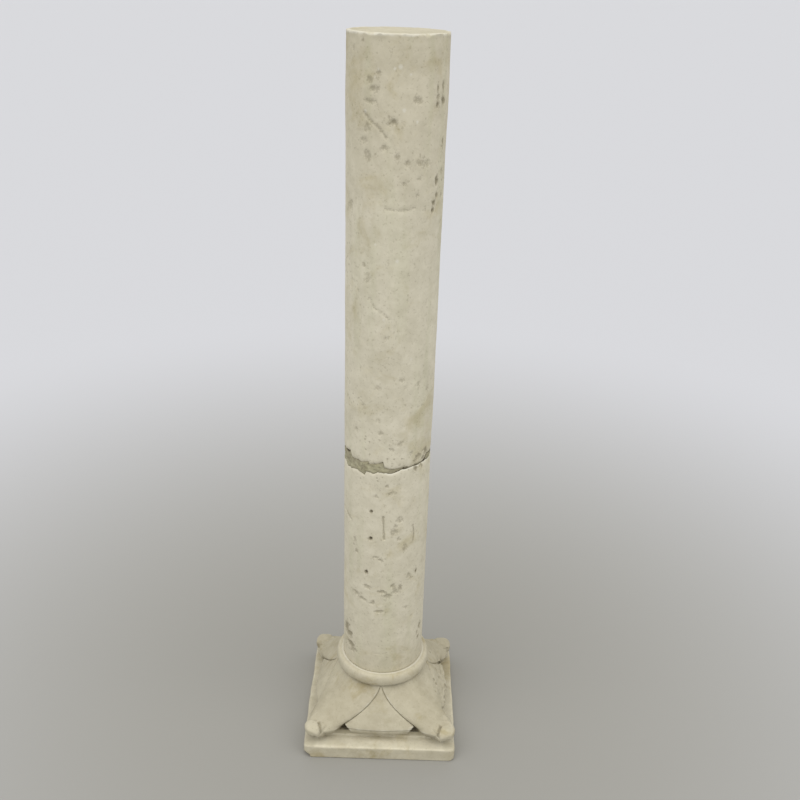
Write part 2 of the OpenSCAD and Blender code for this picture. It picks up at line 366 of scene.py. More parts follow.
def rollTip(share, turn, radius, height, under, columns):
    # the rolled tip takes over the last strips: its distance is onUnder · under + onOuter · outer + more,
    # its top falls to its sides, its foot lifts at the corner, and onTip blends it into the leaf
    s = baseShape
    position, zone, part = columns
    outline = np.array(s["tipOutline"]) * (1, 1, 1, mm, mm)
    outline[-1, 3] = ridgeDistance(s["tipTop"])
    stops = outline[:, 0]
    onUnder, onOuter, more, tipZ = (np.interp(share, stops, row)[:, None] for row in outline.T[1:])
    outer = squareRadius(slabHalf - s["tipInset"], turn, s["tipSquareness"])
    onRidge = (share > stops[-1])[:, None]
    tipRadius = np.where(onRidge, radius, onUnder * under + onOuter * outer + more)
    tipHeight = np.where(onRidge, height, tipZ + 0 * turn)
    shoulder = np.where(zone == 6, np.clip(1 - part / 0.9, 0, 1) ** 2, np.where(zone == 5, 1, 0))
    onTop = (ramp(share, 0.26, 0.36) * ramp(share, 0.54, 0.46))[:, None]
    atFoot = (ramp(share, 0.02, 0.12) * ramp(share, 0.26, 0.18))[:, None]
    inward = np.where(zone == 6, part, 0)
    tipHeight = tipHeight - s["tipShoulder"] * shoulder * onTop + s["tipKeel"] * inward ** 1.5 * atFoot
    for _ in range(2):
        tipRadius[1:-1] = (tipRadius[:-2] + 2 * tipRadius[1:-1] + tipRadius[2:]) / 4
        tipHeight[1:-1] = (tipHeight[:-2] + 2 * tipHeight[1:-1] + tipHeight[2:]) / 4
    onTip = np.where(zone == 5, smooth(part), np.where(zone == 6, 1, 0)) * np.ones_like(turn)
    radius = radius + (tipRadius - radius) * onTip
    height = height + (tipHeight - height) * onTip
    # the fold between leaf and ridge is eased towards the mean of its neighbours, but not the tip's face
    ease = 0.5 * ramp(position, 4.3, 4.9) * ramp(share, 0.3, 0.42)[:, None]
    for values in (radius, height):
        for _ in range(s["easePasses"]):
            step = (values[:, :-2] + values[:, 2:]) / 2 - values[:, 1:-1]
            values[:, 1:-1] += ease[:, 1:-1] * step
    return radius, height, onTip


def slabRows(turn, under):
    # distance and height: out along the underside, round its edge, up the side, round the upper edge by
    # quarter circles, in over the top, and up the wall under the leaves with a small fillet
    s = baseShape
    footRound, topRound = s["slabFootRound"], s["slabTopRound"]
    quarter = np.radians(np.linspace(0, 90, 6))
    footTurn, topTurn = quarter[:5:2], quarter[1:]
    insets = np.concatenate([footRound * (1 - np.sin(footTurn)), np.zeros(12),
                             topRound * (1 - np.cos(topTurn))])
    sideZ = np.concatenate([footRound * (1 - np.cos(footTurn)),
                            np.linspace(footRound, s["slabHeight"] - topRound, 12),
                            s["slabHeight"] - topRound + topRound * np.sin(topTurn)])[:, None]
    side = squareRadius(slabHalf - insets[:, None], turn, s["slabSquareness"])
    underside = np.array([0, 0.3, 0.6, 0.8, 0.93])[:, None] * side[:1]
    across = np.linspace(0, 1, 13)[1:, None]
    top = side[-1:] + (under + s["wallFillet"] - side[-1:]) * across
    up = np.linspace(0, 1, 7)[1:-1, None]
    wall = under + s["wallFillet"] * (1 - up) ** 3
    wallZ = s["slabHeight"] + (wallTop - s["slabHeight"]) * up
    flat = np.ones_like(turn)
    radii = np.concatenate([underside, side, top, wall])
    return radii, np.concatenate([0 * underside, sideZ * flat, s["slabHeight"] + 0 * top, wallZ * flat])


def ringRows(turn):
    # a half oval: distance with the root of the cosine, height with the sine, from the leaves' top to the
    # tread, then the narrow tread and the bed that the shaft stands on; the strips even out on the way
    s = baseShape
    face = np.radians(np.linspace(-90, 90, 26))
    bulge = np.cos(face) ** s["ringFullness"]
    foot = np.where(face > 0, treadRadius, leafTopRadius)
    radii = foot + (ringRadius - foot) * bulge
    rise = np.sign(face) * np.abs(np.sin(face)) ** np.where(face > 0, s["ringFall"], 1)
    heights = leafTop + s["ringHeight"] / 2 * (1 + rise)
    radii = np.concatenate([radii, [treadRadius - 0.6 * mm, shaftRadius - 1 * mm, shaftRadius * 0.6, 0]])
    heights = np.concatenate([heights, np.array([-0.1, -0.3, -1, -1]) * mm + baseTop])
    even = np.radians(np.linspace(0, 45, turn.shape[1]))[None]
    spread = ramp(np.arange(len(heights)), 0, 8)[:, None]
    flat = np.ones_like(turn)
    return turn + (even - turn) * spread, radii[:, None] * flat, heights[:, None] * flat


def halfFace(tongueFoot):
    # half a face from its middle to the corner, rows from the underside to the bed: turn, distance from
    # the axis and height of every point, and the groove, hole and tip masks
    s = baseShape
    columns = leafColumns()
    share = np.linspace(0, 1, s["rows"])
    leafZ = np.interp(share, [0, 0.04, 0.10, 0.125, 0.20, 1],
                      [wallTop, lipLow - 2 * mm, lipLow, lipLow + 2 * mm, lipTop, leafTop - 0.5 * mm])
    leafOut = np.interp(share, [0, 0.04, 0.10, 0.125], [0, 0.25, 0.93, 1])
    # towards the tip the rows close up, so that the leaf meets the tip's flat top and the ridge behind it
    start, middle, end = s["tipRows"]
    startZ, endZ = np.interp((start, end), share, leafZ)
    closed = np.interp(share, (start, middle, end), (startZ, s["tipTop"], endZ))
    closed = np.where((share > start) & (share < end), closed, leafZ)
    height = leafZ[:, None] + (closed - leafZ)[:, None] * ramp(columns[0], 4.1, 5)
    turn, radius, sink, below, under = leafSkin(height, leafOut, tongueFoot, columns)
    radius, height, onTip = rollTip(share, turn, radius, height, under, columns)
    slab, slabZ = slabRows(turn[:1], under[:1])
    ringTurn, ring, ringZ = ringRows(turn[-1:])
    turns = np.concatenate([np.repeat(turn[:1], len(slab), 0), turn, ringTurn])
    masks = np.zeros((3,) + turns.shape)
    masks[:, len(slab):len(slab) + s["rows"]] = np.where(below > 0.5, 0.0, sink), sink * below, onTip
    return turns, np.concatenate([slab, radius, ring]), np.concatenate([slabZ, height, ringZ]), *masks


def baseGrid():
    # eight half faces, each mirrored to its side and turned to its face: x = r cos(turn), y = r sin(turn)
    parts = []
    for face, feet in enumerate(baseShape["tongueFeet"]):
        for side, foot in zip((-1, 1), feet):
            turn, *values = halfFace(foot * mm)
            columns = slice(None, 0, -1) if side < 0 else slice(0, -1)
            turned = side * turn + math.radians(90 * face - 90)
            parts.append([array[:, columns] for array in (turned, *values)])
    angle, radius, height, groove, hole, onTip = (np.concatenate(arrays, 1) for arrays in zip(*parts))
    return np.stack([radius * np.cos(angle), radius * np.sin(angle), height], -1), groove, hole, onTip


def batterBase(grid, grimeAndShade, onTip):
    # the back tips lose backTipWear of height, then come the V slits beside the tips, darkened as painted
    # shadow, the bites, which are capsules met at a noise-warped surface, and the pits, darkened as dirt and
    # painted shade
    s = baseShape
    z = grid[..., 2]
    low = ramp(z, 66 * mm, 76 * mm) * ramp(z, 92 * mm, 80 * mm) * ramp(onTip, 0, 0.8) * (grid[..., 1] > 0)
    grid[..., 2] = z - s["backTipWear"] * low
    normal = surfaceNormals(grid)
    for corner in ((-1, -1), (-1, 1), (1, -1), (1, 1)):
        for turned in (1, -1):
            start, end = (np.array(s[key])[::turned] * mm * corner for key in ("slitStart", "slitEnd"))
            plain = 1 if corner[1] < 0 and turned > 0 else s["faintSlit"]
            depth = plain * s["slitDepth"]
            grid, share = incise(grid, normal, start, end, s["slitWidth"], depth, s["slitHeights"])
            # painted shadow in each slit
            grimeAndShade = np.maximum(grimeAndShade, s["slitShadow"] * plain * np.minimum(1, 1.6 * share))
    chipped = np.zeros(grid.shape[:2])
    normal = surfaceNormals(grid)
    warp = normal * (s["biteRagged"] * roughField(grid, 9 * mm, 3, seed=11))[..., None]
    for start, end, radius in s["bites"]:
        warped = grid + warp
        bitten, chipped = carve(warped, np.array(start) * mm, np.array(end) * mm, radius * mm, chipped)
        grid = grid + (bitten - warped)
    pitted = np.zeros(grid.shape[:2])
    for place, radius in s["pits"]:
        grid, pitted = carve(grid, np.array(place) * mm, np.array(place) * mm, radius * mm, pitted)
    # the pits are darkened with dirt and painted shade
    return grid, np.maximum(grimeAndShade, s["pitDirtAndShade"] * pitted), chipped


def edgeWearAndHighlight(grid, normal, z, onTip):
    # an edge is worn pale, with a painted highlight, as far as it stands proud of the mean of its four
    # neighbours, less on slab and tips
    mean = (np.roll(grid, 1, 0) + np.roll(grid, -1, 0) + np.roll(grid, 1, 1) + np.roll(grid, -1, 1)) / 4
    wearAndHighlight = np.clip(np.sum(normal * (grid - mean), -1) / baseShape["wearAndHighlightCurve"], 0, 1)
    return wearAndHighlight * (1 - 0.7 * ramp(z, 40 * mm, 34 * mm)) * (1 - 0.55 * ramp(onTip, 0, 0.2))


def baseTones(grid, z, radius, grimeAndShade):
    # painted shadow under the ring and painted shade on the undercut, with dirt and painted contact shade
    # round the shaft's foot; painted shade makes the leaves and the slab's sides a little darker than its top
    # and the ring
    s = baseShape
    across, along = np.abs(grid[..., 0]), np.abs(grid[..., 1])
    underRing = np.exp(-np.abs(z - leafTop) / (1.6 * mm)) * ramp(radius, 103 * mm, 98 * mm)
    underLip = ramp(z, 52 * mm, 47 * mm) * ramp(z, 34 * mm, 38 * mm) * (np.maximum(across, along) < 136 * mm)
    foot = ramp(radius, shaftRadius + 1.2 * mm, shaftRadius - 0.5 * mm) * (z > baseTop - 5 * mm)
    grimeAndShade = np.maximum.reduce([grimeAndShade, s["underRingShadow"] * underRing, s["underLipShade"] * underLip,
                               s["footGrimeAndShade"] * foot])
    # painted shade on the leaves, less on the tongue's middle and the front tips
    leaves = ramp(z, 36 * mm, 50 * mm) * ramp(z, leafTop + 2 * mm, leafTop - 2 * mm)
    middle = ramp(np.minimum(across, along), 85 * mm, 50 * mm)
    frontTips = ramp(radius, 190 * mm, 208 * mm) * ramp(z, 50 * mm, 60 * mm) * (grid[..., 1] < 0)
    leaves = leaves * (1 - 0.2 * middle) * (1 - 0.4 * frontTips)
    sides = s["sideShade"] * ramp(z, s["slabHeight"] - 1 * mm, s["slabHeight"] - 5 * mm)
    ring = s["ringShade"] * ramp(z, leafTop - 2 * mm, leafTop + 2 * mm)
    margins = s["marginShade"] * ramp(across, 138 * mm, 148 * mm) * ramp(z, 27 * mm, 31 * mm)
    return np.clip(grimeAndShade, 0, 1), np.maximum.reduce([leaves, sides, ring, margins])


def makeBase():
    # the grid, battered, then moved along its normals by the carver's undulations and the grain
    s = baseShape
    grid, groove, hole, onTip = baseGrid()
    # painted shade in the crease grooves and painted shadow in the drilled holes
    grimeAndShade = np.maximum(s["grooveShade"] * groove ** 1.5, s["holeShadow"] * hole)
    grid, grimeAndShade, chipped = batterBase(grid, grimeAndShade, onTip)
    z = grid[..., 2]
    flatFace = ramp(z, 0, 4 * mm) * ramp(z, baseTop, baseTop - 3 * mm)   # 0 on the bed faces, which stay flat
    normal = surfaceNormals(grid)
    hand = s["handWave"] * roughField(grid, 48 * mm, 3, seed=21)
    hand = hand + s["handGrain"] * roughField(grid, 9 * mm, 3, seed=31)
    ringPart = ramp(z, baseTop - 30 * mm, baseTop - 24 * mm)
    hand = hand * (1 - 0.55 * ringPart) * (1 - 0.8 * np.maximum(groove, hole))
    hand = hand + chipped * s["chipGrain"] * roughField(grid, 5 * mm, 2, seed=41)
    broken = np.prod([ramp(grid[..., axis], start * mm, end * mm)
                      for axis, start, end in s["brokenArea"]], axis=0)
    hand = hand + broken * (s["brokenRough"] * roughField(grid, 17 * mm, 3, seed=51) - s["brokenLoss"])
    grid = grid + normal * (hand * flatFace)[..., None]
    limit = slabHalf + 2 * mm
    grid[..., :2] = np.clip(grid[..., :2], -limit, limit)
    grid[..., 2] = np.maximum(grid[..., 2], 0)
    radius = np.hypot(grid[..., 0], grid[..., 1])
    wearAndHighlight = edgeWearAndHighlight(grid, normal, z, onTip) * (1 - 0.8 * broken) * flatFace
    for _ in range(2):
        wearAndHighlight = (wearAndHighlight + np.roll(wearAndHighlight, 1, 1) + np.roll(wearAndHighlight, -1, 1)) / 3
    # painted highlight on the tread and the ring's inner arris
    treadHighlight = ramp(radius, 95 * mm, 92 * mm) * ramp(radius, 88 * mm, 89 * mm) * (z > baseTop - 4 * mm)
    wearAndHighlight = np.maximum(wearAndHighlight, treadHighlight)
    grimeAndShade, shade = baseTones(grid, z, radius, grimeAndShade)
    return closedSurface("carvedBase", grid, {"grimeAndShade": grimeAndShade, "wearAndHighlight": wearAndHighlight, "shade": shade})


# the shaft: what both drums share, then each drum and the mortar between them

shaftShape = {
    "columns": 368,
    "rows": 236,
    "waviness": 0.45 * mm,
    "grain": 0.16 * mm,
    "hollow": 1.0 * mm,          # worn hollow of the right side round the joint
    "swelling": 0.8 * mm,        # slight swelling below the top
    "raggedEdge": 1.9 * mm,
    "breakDepth": 9 * mm,        # how far behind the face the arrises are broken back
    "breakRough": 1.0 * mm,
    "bedShade": 0.35,
    "backPits": 26,              # scattered over the side that stands away from the front
}


def aroundShaft(columns):
    # even turns in degrees from the front (-Y), growing towards the right (+X)
    return np.linspace(-180, 180, columns, endpoint=False)


def onShaft(degrees, radius, height):
    # points at x = r sin(turn), y = -r cos(turn), z = height
    turn = np.radians(degrees)
    return np.stack(np.broadcast_arrays(radius * np.sin(turn), -radius * np.cos(turn), height), -1)


def edgeHeight(drum, degrees):
    # a broken edge: straight runs between its corners, made ragged by noise
    corners = np.array(drum["edge"], float)
    line = np.interp(degrees, corners[:, 0], corners[:, 1]) * mm
    ring = onShaft(degrees, shaftRadius, 0 * degrees)
    return line + shaftShape["raggedEdge"] * roughField(ring, 16 * mm, 4, drum["edgeSeed"])


def pathDistance(degrees, height, line):
    # distance over the unrolled shaft to the nearest of a line's straight runs
    place = np.stack(np.broadcast_arrays(degrees * math.radians(1) * shaftRadius, height), -1)
    corners = np.array(line, float) * (math.radians(1) * shaftRadius, mm)
    nearest = np.full(place.shape[:2], 1.0)
    for start, end in zip(corners, corners[1:]):
        run = end - start
        t = np.clip((place - start) @ run / (run @ run), 0, 1)
        nearest = np.minimum(nearest, np.linalg.norm(place - start - t[..., None] * run, axis=-1))
    return nearest


def markDepths(degrees, height, pits, scars, seed):
    # with q the distance over the half width, made ragged: a pit is a bowl of (1 - q²) over an oval, a
    # scar the same across a line, and each tints its surroundings with exp(-q²); pits deeper than 2 mm are
    # darkened with dirt and painted shade
    ragged = 1 + 0.55 * roughField(onShaft(degrees, shaftRadius, height), 9 * mm, 4, seed)
    depth, grimeAndShade, patch = np.zeros((3,) + ragged.shape)
    for turn, up, halfWidth, halfHeight, deep in pits:
        across = (np.mod(degrees - turn + 180, 360) - 180) * math.radians(1) * shaftRadius
        q = np.hypot(across / (halfWidth * mm), (height - up * mm) / (halfHeight * mm)) * ragged
        bowl = np.clip(1 - q ** 2, 0, 1)
        depth = np.maximum(depth, deep * mm * np.minimum(1.6 * bowl, 1) ** 1.3)
        patch = np.maximum(patch, np.exp(-(q / 1.7) ** 2) * min(1, 0.5 + deep / 4.5))
        if deep > 2:
            grimeAndShade = np.maximum(grimeAndShade, min(0.8, deep / 6) * np.minimum(1, 2.0 * bowl))
    for halfWidth, deep, line in scars:
        q = pathDistance(degrees, height, line) / (halfWidth * mm) * ragged
        depth = np.maximum(depth, deep * mm * np.clip(1 - q ** 2, 0, 1))
        patch = np.maximum(patch, np.exp(-(q / 1.5) ** 2) * min(1, 0.4 + deep / 4))
    return depth, grimeAndShade, patch


def scattered(low, high, seed):
    # seeded pits for the back of a drum: turn, height in mm, half width, half height and depth
    rng = np.random.default_rng(seed)
    ranges = ((85, 275), (low, high), (2.5, 7), (2.5, 7), (0.8, 3))
    return list(zip(*(rng.uniform(least, most, shaftShape["backPits"]) for least, most in ranges)))


def shaftWall(degrees, height, drum):
    # distance of the shaft's face: true round, a slow waviness and a fine grain, less its marks
    s = shaftShape
    points = onShaft(degrees, shaftRadius, height)
    pits = drum["pits"] + scattered(*drum["backHeights"], drum["backSeed"])
    depth, grimeAndShade, patch = markDepths(degrees, height, pits, drum["scars"], drum["seed"])
    radius = shaftRadius + s["waviness"] * roughField(points, 90 * mm, 3, drum["seed"] + 1)
    radius = radius + s["grain"] * roughField(points, 8 * mm, 2, drum["seed"] + 2)
    right = np.exp(-((degrees - 85) / 40) ** 2)
    radius = radius - s["hollow"] * right * np.exp(-((height - 700 * mm) / (60 * mm)) ** 2)
    radius = radius + s["swelling"] * np.exp(-((height - 1380 * mm) / (50 * mm)) ** 2)
    return radius - depth, grimeAndShade, patch


def breakRadius(edgeZ, bedZ):
    # where the flat bed ends: further behind the face, the further the edge lies from the bed
    share = np.clip(np.abs(edgeZ - bedZ) / (14 * mm), 0, 1)
    return shaftRadius - (1.5 * mm + shaftShape["breakDepth"] * share)


def drumEnd(degrees, edgeRadius, edgeZ, bedZ, bedRadius, seed):
    # from the axis out over the flat bed, then along the broken arris to the face: height with the power
    # 1.3 of the way out, pushed in by noise where the break is deep
    flat = np.array([0, 0.5, 0.85, 1])[:, None] * bedRadius
    steps = np.linspace(0, 1, 9)[1:-1, None]
    radius = bedRadius + (edgeRadius - bedRadius) * steps
    z = bedZ + (edgeZ - bedZ) * steps ** 1.3
    rough = shaftShape["breakRough"] * roughField(onShaft(degrees, radius, z), 8 * mm, 3, seed)
    rough = rough * np.minimum(1, np.abs(edgeZ - bedZ) / (4 * mm))
    return np.concatenate([flat, radius - np.abs(rough)]), np.concatenate([np.full(flat.shape, bedZ), z])


lowerDrumShape = {
    # turn in degrees from the front to the right, height, half width, half height and depth, all in mm
    "pits": [
        (-19, 594, 3.4, 3.4, 4), (-19, 529, 4.2, 3.6, 4), (-25, 443, 4, 4, 4), (49, 431, 2.6, 6, 4),
        (1, 657, 4, 4, 1.6), (-41, 484, 5, 6, 1.4), (-45, 511, 5, 9, 1.2), (-42, 379, 8, 6, 1.4),
        (-29, 370, 11, 4, 1.4), (-16, 364, 5, 3, 1.2), (-7, 345, 9, 4, 1.5), (-23, 405, 9, 4, 1.5),
        (-3, 396, 10, 4, 1.8), (6, 386, 9, 7, 1.7), (23, 405, 5, 11, 1.8), (16, 397, 5, 6, 1.2),
        (32, 350, 6, 4, 1.0), (65, 272, 6, 7, 2.6), (62, 245, 5, 5, 2.4), (58, 260, 3, 6, 2),
        (12, 411, 5, 4, 1.3), (36, 430, 5, 6, 1.1), (-12, 484, 6, 4, 1.2), (-6, 478, 4, 4, 1.2),
        (8, 640, 10, 4, 1.0), (14, 560, 5, 6, 1.1), (18, 530, 4, 5, 1.2), (28, 505, 5, 9, 0.9),
        (-64, 264, 11, 13, 2.4), (-57, 252, 9, 8, 2.2), (-53, 228, 12, 7, 2.2), (-46, 219, 8, 5, 1.8),
        (13, 547, 7, 9, 1.2), (21, 575, 6, 6, 0.9), (-13, 632, 4, 4, 1), (41, 687, 4, 6, 2.2),
        (49, 690, 5, 3, 1.6),
    ],
    # half width and depth in mm, then the (degrees, height) points of each scar or crack
    "scars": [
        (2.2, 1.8, [(-3, 584), (-2, 556), (-1, 531)]), (2.0, 2.0, [(40, 556), (42, 534), (41, 515)]),
        (2.4, 1.6, [(-77, 569), (-57, 558), (-52, 554)]), (1.6, 2.4, [(39, 699), (41, 684)]),
        (1.6, 2.4, [(50, 697), (53, 683)]), (1.5, 2.2, [(39, 697), (38, 689), (41, 684)]),
        (1.6, 0.7, [(-10, 230), (2, 230)]),
    ],
    # height of the broken edge at the joint, as (degrees, mm)
    "edge": [(-180, 692), (-110, 684), (-69, 678), (-63, 675), (-42, 680), (-30, 673), (-28, 683),
             (-18, 681), (-12, 686), (4, 685), (16, 690), (23, 694), (36, 695), (55, 694), (80, 693),
             (180, 692)],
    "edgeAbove": 8 * mm,         # the edge rises at most this far above the bed
    "edgeWorn": 1.6 * mm,
    "footLine": 5 * mm,          # height of the brown line, dirt and painted contact shade, where the shaft meets the ring
    "footGrimeAndShade": 0.3,
    "footShade": 0.25,
    "edgeSeed": 71, "endSeed": 101, "seed": 61, "backHeights": (200, 660), "backSeed": 81,
}


def lowerEdge(degrees):
    # the lower drum's edgeHeight(), held below its highest
    return np.minimum(edgeHeight(lowerDrumShape, degrees), bedLow + lowerDrumShape["edgeAbove"])


def makeLowerDrum():
    # bed at the foot, the face by shaftWall() with its upper arris worn by exp(-distance), the broken end
    s = lowerDrumShape
    degrees = aroundShaft(shaftShape["columns"])
    edge = lowerEdge(degrees)
    foot = baseTop - 0.8 * mm
    height = foot + (edge - foot) * np.linspace(0, 1, shaftShape["rows"])[:, None]
    radius, grimeAndShade, patch = shaftWall(degrees[None], height, s)
    radius = radius - s["edgeWorn"] * np.exp(-(edge - height) / (2.2 * mm))
    points = onShaft(degrees[None], shaftRadius, height)
    band = s["footLine"] * (1 + 0.5 * roughField(points, 30 * mm, 2, seed=91))
    # dirt and painted contact shade in a band round the shaft's foot
    grimeAndShade = np.maximum(grimeAndShade, s["footGrimeAndShade"] * ramp(height - baseTop, band, 0))
    end, endZ = drumEnd(degrees, radius[-1], edge, bedLow, breakRadius(edge, bedLow), s["endSeed"])
    footBed = np.array([0, 0.5, 0.98])[:, None] * radius[:1]
    radii = np.concatenate([footBed, radius, end[::-1]])
    heights = np.concatenate([np.repeat(height[:1], 3, 0), height, endZ[::-1]])
    # painted shade on the broken end, down in the joint's crack
    grimeAndShade = np.concatenate([np.zeros(footBed.shape), grimeAndShade, np.full(end.shape, shaftShape["bedShade"])])
    wearAndHighlight, patches = np.zeros((2,) + radii.shape)
    face = slice(len(footBed), len(footBed) + len(height))
    # worn pale, with a painted highlight, along the right part of the upper arris
    wearAndHighlight[face] = np.exp(-(edge - height) / (3 * mm)) * ramp(degrees, -30, 5)
    patches[face] = patch
    # painted shade, darker towards the foot
    shade = s["footShade"] * ramp(heights, baseTop + 110 * mm, baseTop)
    attributes = {"grimeAndShade": grimeAndShade, "wearAndHighlight": wearAndHighlight, "patch": patches, "shade": shade}
    return closedSurface("lowerDrum", onShaft(degrees, radii, heights), attributes)


upperDrumShape = {
    # turn in degrees from the front to the right, height, half width, half height and depth, all in mm
    "pits": [
        (-40, 1487, 3, 3, 1.3), (-55, 1474, 3, 6, 1), (-19, 1439, 3.5, 3.5, 1.7), (-30, 1427, 5, 5, 1.6),
        (-26, 1413, 7, 6, 1.6), (23, 1396, 8, 5, 1.2), (51, 1414, 3, 9, 2.2), (52, 1400, 3, 4, 1.9),
        (51, 1388, 4.5, 5, 2.9), (61, 1416, 3, 9, 2.2), (62, 1393, 5, 5, 2.9), (-2, 1362, 5, 4, 2.5),
        (-11, 1319, 6, 5, 1.4), (-32, 1353, 6, 7, 1.1), (-37, 1328, 6, 5, 1), (-33, 1308, 6, 6, 1.2),
        (-30, 1299, 4, 4, 1.2), (3, 1305, 5, 6, 1), (15, 1294, 4, 8, 1.3), (33, 1292, 12, 5, 1),
        (67, 1321, 3, 9, 2.5), (67, 1273, 3, 6, 1.9), (56, 1256, 3.5, 7, 3), (69, 1230, 3, 5, 1.9),
        (53, 1220, 3, 4, 3.2), (51, 1208, 3, 3.5, 3.2), (57, 1232, 2.5, 2.5, 2.6), (-62, 1209, 8, 6, 1),
        (11, 1259, 5, 5, 0.9), (30, 1267, 6, 4, 0.9), (28, 1239, 5, 4, 0.9), (-35, 1108, 5, 4, 1.3),
        (-28, 1085, 8, 9, 0.7), (-5, 973, 4, 4, 0.9), (16, 888, 5, 4, 0.9), (-11, 872, 5, 5, 0.7),
        (20, 872, 4, 4, 0.7), (39, 875, 4, 5, 0.9), (56, 858, 4, 5, 0.9), (-33, 829, 5, 4, 0.7),
        (-12, 804, 5, 4, 0.7), (-45, 773, 5, 5, 0.9), (-9, 774, 8, 4, 0.9), (15, 748, 5, 4, 1),
        (7, 740, 5, 4, 1), (31, 726, 5, 3, 1), (19, 755, 7, 4, 0.9), (46, 714, 7, 4, 2),
        (55, 705, 7, 4, 2.2), (60, 717, 4, 7, 2.2), (38, 706, 4, 4, 1.6),
    ],
    # half width and depth in mm, then the (degrees, height) points of each scar or crack
    "scars": [
        (1.5, 2.2, [(40, 716), (47, 720), (56, 722), (61, 721)]),
        (1.5, 2.2, [(58, 722), (57, 711), (55, 702)]), (1.5, 1.6, [(41, 716), (42, 707), (39, 699)]),
        (2.6, 1.6, [(-35, 1394), (-28, 1392), (-22, 1393)]),
        (3.2, 1.5, [(-37, 1374), (-26, 1359), (-17, 1349), (-13, 1341), (-10, 1336)]),
        (3.0, 0.9, [(-9, 1215), (8, 1212), (25, 1217)]),
        (3.0, 0.9, [(-27, 1049), (-19, 1030), (-10, 1022), (-1, 1011)]),
    ],
    # pale flecks: turn in degrees, height and size in mm
    "flecks": [(4, 1449, 5), (-2, 1446, 3), (15, 1437, 2.5), (-20, 1445, 2.5), (-24, 1432, 2.5), (9, 1381, 4),
               (24, 1362, 3), (-35, 1376, 4), (6, 1122, 4), (-20, 1150, 3), (-8, 1010, 3), (27, 930, 3)],
    # chips out of the rim: turn and half width in degrees, depth in mm
    "chips": [(18, 7, 3.5), (-150, 12, 3), (34, 4, 2.5)],
    # height of the broken edge at the joint, as (degrees, mm)
    "edge": [(-180, 698), (-110, 701), (-85, 704), (-72, 708), (-57, 716), (-53, 702), (-41, 706), (-34, 704),
             (-25, 709), (-23, 703), (-14, 706), (-5, 712), (-3, 699), (7, 696), (20, 699), (41, 697),
             (54, 697), (59, 701), (64, 709), (80, 704), (110, 698), (180, 698)],
    "edgeBelow": 2 * mm,         # the edge falls at most this far below the bed
    "edgeWorn": 1.4 * mm,
    "rimRound": 3.5 * mm,
    "bedRough": 0.5 * mm,
    "rimGrime": 0.3,
    "topBedShade": 0.2,
    "topShade": 0.25,
    "edgeSeed": 72, "endSeed": 102, "seed": 62, "backHeights": (730, 1480), "backSeed": 82,
}


def upperEdge(degrees):
    # the upper drum's edgeHeight(), held above its lowest
    return np.maximum(edgeHeight(upperDrumShape, degrees), bedHigh - upperDrumShape["edgeBelow"])


